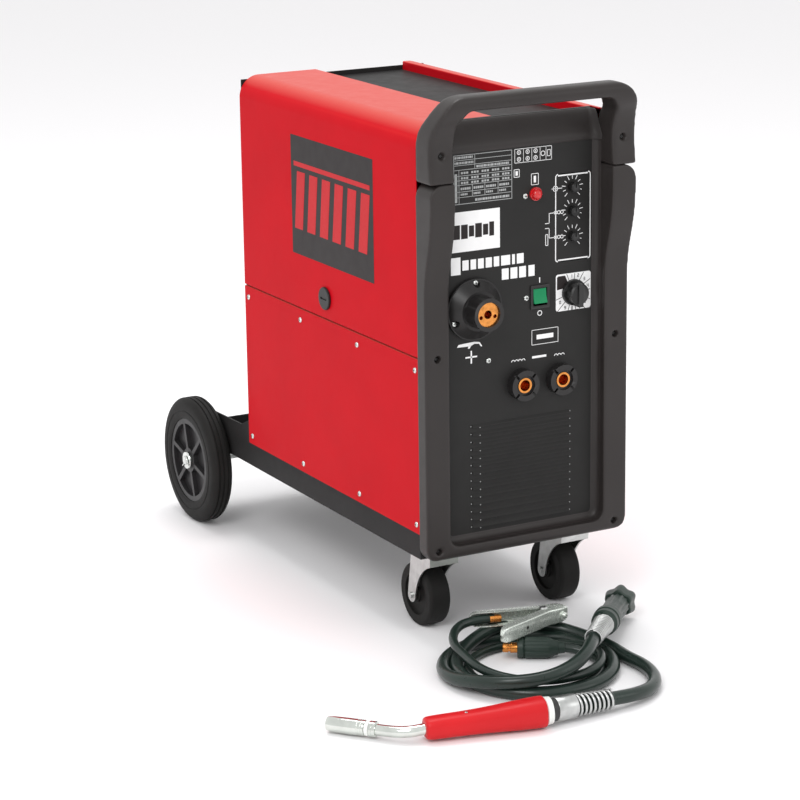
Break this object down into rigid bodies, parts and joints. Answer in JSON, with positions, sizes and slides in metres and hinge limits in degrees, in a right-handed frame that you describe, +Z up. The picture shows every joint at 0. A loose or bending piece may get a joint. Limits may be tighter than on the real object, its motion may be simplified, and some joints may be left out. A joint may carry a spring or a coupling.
{
  "type": "mig welding machine",
  "caption": "Wheeled wire-feed arc welding machine with push handle, side wire compartment, front sockets, torch lead and earth clamp lead",
  "frame": {"origin": "on the floor, under the middle of the machine's own bounding box (the leads left out)", "axes": "+Z up; the front panel faces -Y and the rear wheels are at +Y; +X is to the right, seen from the front"},
  "size_m": [0.5472, 1.0091, 0.674],
  "materials": {
    "red_paint": "glossy powder coat",
    "black_paint": "satin powder coat",
    "panel_black": "satin with a white print",
    "moulding_black": "fine moulded grain",
    "socket_black": "satin moulding",
    "lamp_red": "clear red lens",
    "rocker_green": "glossy",
    "knob_black": "satin moulding",
    "brass": "turned",
    "zinc": "zinc plated",
    "chrome": "polished",
    "laminations": "varnished sheet stack",
    "copper_winding": "enamelled wire",
    "aluminium": "extruded",
    "board_green": "circuit board",
    "reel_plastic": "moulded",
    "wheel_rubber": "matt",
    "hub_plastic": "moulded",
    "cable_rubber": "glossy sheath",
    "lead_plastic": "moulded",
    "torch_red": "soft moulded grip"
  },
  "bodies": {
    "chassis": {"base_frame": "black_paint", "centre_wall": "zinc", "rear_panel": "black_paint", "right_cover": "red_paint", "left_lower_panel": "red_paint", "top_tray": "black_paint", "front_panel": "panel_black", "front_frame": "moulding_black", "handle": "moulding_black", "screws": "zinc", "socket_shells": "socket_black", "socket_brass": "brass", "signal_lamp": "lamp_red", "switch_bezel": "socket_black", "transformer_core": "laminations", "transformer_windings": "copper_winding", "smoothing_choke": "laminations", "rectifier": "aluminium", "control_board": "board_green", "rear_inlets": "socket_black", "feeder_plate": "aluminium", "feed_motor": "zinc", "spool_hub": "knob_black", "fan_housing": "socket_black", "rear_axle": "zinc", "caster_plates": "zinc"},
    "side_door": {"side_door": "red_paint"},
    "door_lock": {"door_lock": "knob_black"},
    "rocker": {"rocker": "rocker_green"},
    "selector_knob": {"selector_knob": "knob_black"},
    "trim_knob_top": {"trim_knob_top": "knob_black"},
    "trim_knob_middle": {"trim_knob_middle": "knob_black"},
    "trim_knob_bottom": {"trim_knob_bottom": "knob_black"},
    "drive_roll": {"drive_roll": "zinc"},
    "pressure_arm": {"pressure_arm": "aluminium"},
    "pressure_roll": {"pressure_roll": "zinc"},
    "wire_reel": {"wire_reel": "reel_plastic"},
    "fan_rotor": {"fan_rotor": "knob_black"},
    "rear_wheel_left": {"rear_tyre_left": "wheel_rubber", "rear_hub_left": "hub_plastic"},
    "rear_wheel_right": {"rear_tyre_right": "wheel_rubber", "rear_hub_right": "hub_plastic"},
    "caster_fork_left": {"caster_fork_left": "zinc"},
    "caster_wheel_left": {"caster_wheel_left": "wheel_rubber"},
    "caster_fork_right": {"caster_fork_right": "zinc"},
    "caster_wheel_right": {"caster_wheel_right": "wheel_rubber"},
    "leads": {"torch_cable": "cable_rubber", "torch_cable_coil": "cable_rubber", "torch_connector": "lead_plastic", "torch_handle": "torch_red", "torch_neck": "chrome", "torch_nozzle": "chrome", "torch_spring": "zinc", "earth_cable": "cable_rubber", "earth_cable_coil": "cable_rubber", "earth_plug": "lead_plastic", "clamp_upper": "zinc"},
    "connector_nut": {"connector_nut": "lead_plastic"},
    "torch_trigger": {"torch_trigger": "torch_red"},
    "clamp_lower": {"clamp_lower": "zinc"}
  },
  "joints": [
    {"name": "door_hinge", "type": "hinge", "parent": "chassis", "child": "side_door", "pos_m": [-0.0245, -0.084, 0.631], "axis": [0, 1, 0], "range_deg": [0, 100]},
    {"name": "lock_turn", "type": "hinge", "parent": "side_door", "child": "door_lock", "pos_m": [-0.139, -0.081, 0.3855], "axis": [-1, 0, 0], "range_deg": [0, 90]},
    {"name": "rocker_tilt", "type": "hinge", "parent": "chassis", "child": "rocker", "pos_m": [0.0265, -0.318, 0.415], "axis": [1, 0, 0], "range_deg": [0, 22]},
    {"name": "selector_turn", "type": "hinge", "parent": "chassis", "child": "selector_knob", "pos_m": [0.074, -0.33, 0.415], "axis": [0, 1, 0], "range_deg": [-135, 135]},
    {"name": "trim_turn_top", "type": "hinge", "parent": "chassis", "child": "trim_knob_top", "pos_m": [0.0725, -0.327, 0.544], "axis": [0, 1, 0], "range_deg": [-140, 140]},
    {"name": "trim_turn_middle", "type": "hinge", "parent": "chassis", "child": "trim_knob_middle", "pos_m": [0.0725, -0.327, 0.515], "axis": [0, 1, 0], "range_deg": [-140, 140]},
    {"name": "trim_turn_bottom", "type": "hinge", "parent": "chassis", "child": "trim_knob_bottom", "pos_m": [0.0725, -0.327, 0.484], "axis": [0, 1, 0], "range_deg": [-140, 140]},
    {"name": "drive_roll_turn", "type": "hinge", "parent": "chassis", "child": "drive_roll", "pos_m": [-0.0655, -0.209, 0.3957], "axis": [1, 0, 0], "continuous": true},
    {"name": "pressure_arm_lift", "type": "hinge", "parent": "chassis", "child": "pressure_arm", "pos_m": [-0.0655, -0.175, 0.4383], "axis": [-1, 0, 0], "range_deg": [0, 50]},
    {"name": "pressure_roll_turn", "type": "hinge", "parent": "pressure_arm", "child": "pressure_roll", "pos_m": [-0.0655, -0.209, 0.4263], "axis": [1, 0, 0], "continuous": true},
    {"name": "reel_turn", "type": "hinge", "parent": "chassis", "child": "wire_reel", "pos_m": [-0.068, 0.003, 0.49], "axis": [1, 0, 0], "continuous": true},
    {"name": "fan_turn", "type": "hinge", "parent": "chassis", "child": "fan_rotor", "pos_m": [0.056, 0.132, 0.262], "axis": [0, 1, 0], "continuous": true},
    {"name": "rear_wheel_turn_left", "type": "hinge", "parent": "chassis", "child": "rear_wheel_left", "pos_m": [-0.155, 0.288, 0.087], "axis": [1, 0, 0], "continuous": true},
    {"name": "rear_wheel_turn_right", "type": "hinge", "parent": "chassis", "child": "rear_wheel_right", "pos_m": [0.155, 0.288, 0.087], "axis": [1, 0, 0], "continuous": true},
    {"name": "caster_swivel_left", "type": "hinge", "parent": "chassis", "child": "caster_fork_left", "pos_m": [-0.094, -0.275, 0.097], "axis": [0, 0, 1], "continuous": true},
    {"name": "caster_wheel_turn_left", "type": "hinge", "parent": "caster_fork_left", "child": "caster_wheel_left", "pos_m": [-0.094, -0.249, 0.04], "axis": [1, 0, 0], "continuous": true},
    {"name": "caster_swivel_right", "type": "hinge", "parent": "chassis", "child": "caster_fork_right", "pos_m": [0.094, -0.275, 0.097], "axis": [0, 0, 1], "continuous": true},
    {"name": "caster_wheel_turn_right", "type": "hinge", "parent": "caster_fork_right", "child": "caster_wheel_right", "pos_m": [0.094, -0.249, 0.04], "axis": [1, 0, 0], "continuous": true},
    {"name": "leads_pull_away", "type": "slide", "parent": "chassis", "child": "leads", "axis": [0, -1, 0], "range_m": [0, 0.3]},
    {"name": "connector_nut_turn", "type": "hinge", "parent": "leads", "child": "connector_nut", "pos_m": [0.126, -0.3535, 0.021], "axis": [-0.6692, -0.7347, 0.1115], "continuous": true},
    {"name": "trigger_press", "type": "slide", "parent": "leads", "child": "torch_trigger", "axis": [-0.2098, -0.9777, 0], "range_m": [0, 0.003], "stiffness_N_per_m": 1200, "springref_m": -0.002},
    {"name": "clamp_open", "type": "hinge", "parent": "leads", "child": "clamp_lower", "pos_m": [-0.01, -0.39, 0.037], "axis": [0, 0, -1], "range_deg": [0, 20], "stiffness_Nm_per_rad": 3, "springref_deg": -22.92}
  ],
  "couplings": [
    {"joint": "pressure_roll_turn", "follows": "drive_roll_turn", "ratio": -1}
  ]
}
